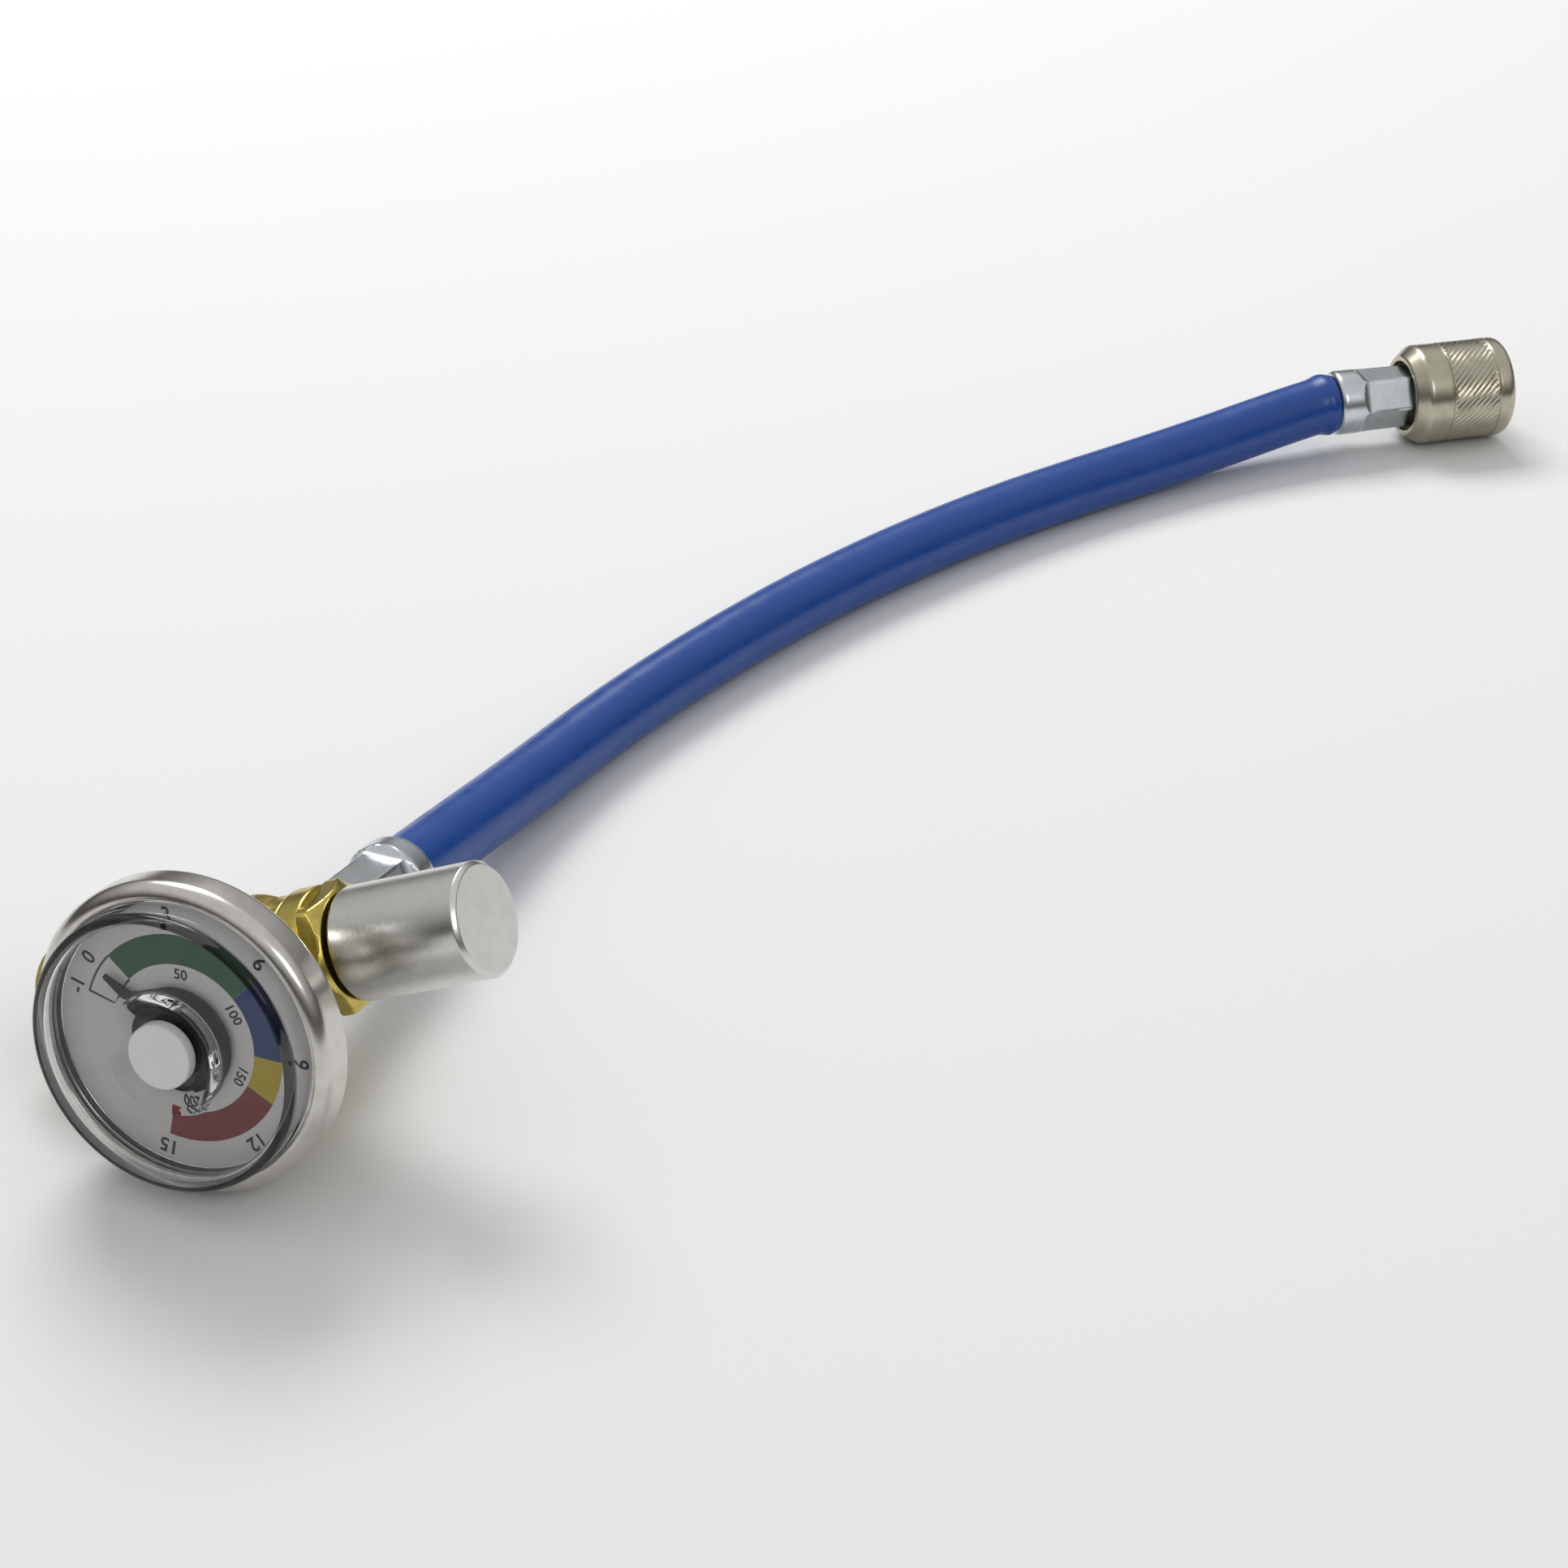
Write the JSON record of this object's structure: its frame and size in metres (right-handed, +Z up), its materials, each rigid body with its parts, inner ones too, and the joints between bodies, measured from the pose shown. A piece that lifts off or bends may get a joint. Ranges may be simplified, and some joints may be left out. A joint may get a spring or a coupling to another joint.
{
  "type": "refrigerant gauge",
  "caption": "Round pressure gauge on a brass charging tap with a turning knob, a can socket and a short blue hose that ends in a knurled swivel nut.",
  "frame": {"origin": "on the floor, under the middle of the box of the gauge, tap and near ferrule", "axes": "+Z up, +Y the level direction from the gauge's face towards the hose, +X towards the tap's knob"},
  "size_m": [0.1423, 0.2899, 0.0412],
  "materials": {
    "bezel": "satin nickel plate",
    "gauge_case": "satin nickel plate",
    "lens": "clear moulded plastic, polished",
    "lens_plug": "matt white",
    "dial": "matt print",
    "pointer": "matt black",
    "movement": "as turned",
    "brass": "bright, as turned",
    "knob": "satin, as turned",
    "steel": "as turned",
    "zinc": "bright zinc plate",
    "hose": "smooth, slightly glossy",
    "rubber": "matt black",
    "nut": "satin nickel plate over brass"
  },
  "bodies": {
    "gauge_and_tap": {"bezel": "bezel", "lens": "lens", "lens_plug": "lens_plug", "dial": "dial", "movement": "movement", "gauge_case": "gauge_case", "gauge_stem": "brass", "tap_body": "brass", "can_seal": "rubber", "bonnet": "brass", "near_ferrule": "zinc", "hose": "hose", "far_ferrule": "zinc", "nipple": "steel", "nut_gasket": "rubber"},
    "needle": {"pointer": "pointer"},
    "piercing_spindle": {"spindle": "steel"},
    "turning_knob": {"knob": "knob"},
    "hose_nut": {"swivel_nut": "nut"}
  },
  "joints": [
    {"name": "pointer_turn", "type": "hinge", "parent": "gauge_and_tap", "child": "needle", "pos_m": [-0.00055, -0.02147, 0.02053], "axis": [0, 0.9848, -0.1736], "range_deg": [-16.5, 247.5]},
    {"name": "spindle_travel", "type": "slide", "parent": "gauge_and_tap", "child": "piercing_spindle", "axis": [0.919, 0.0685, 0.3883], "range_m": [0, 0.004]},
    {"name": "knob_turn", "type": "hinge", "parent": "piercing_spindle", "child": "turning_knob", "pos_m": [-0.00126, -0.00316, 0.01898], "axis": [0.919, 0.0685, 0.3883], "range_deg": [0, 1440]},
    {"name": "nut_spin", "type": "hinge", "parent": "gauge_and_tap", "child": "hose_nut", "pos_m": [0.09013, 0.2406, 0.0088], "axis": [0.809, 0.5878, 0], "continuous": true}
  ],
  "couplings": [
    {"joint": "knob_turn", "follows": "spindle_travel", "rad_per_m": 6283}
  ]
}
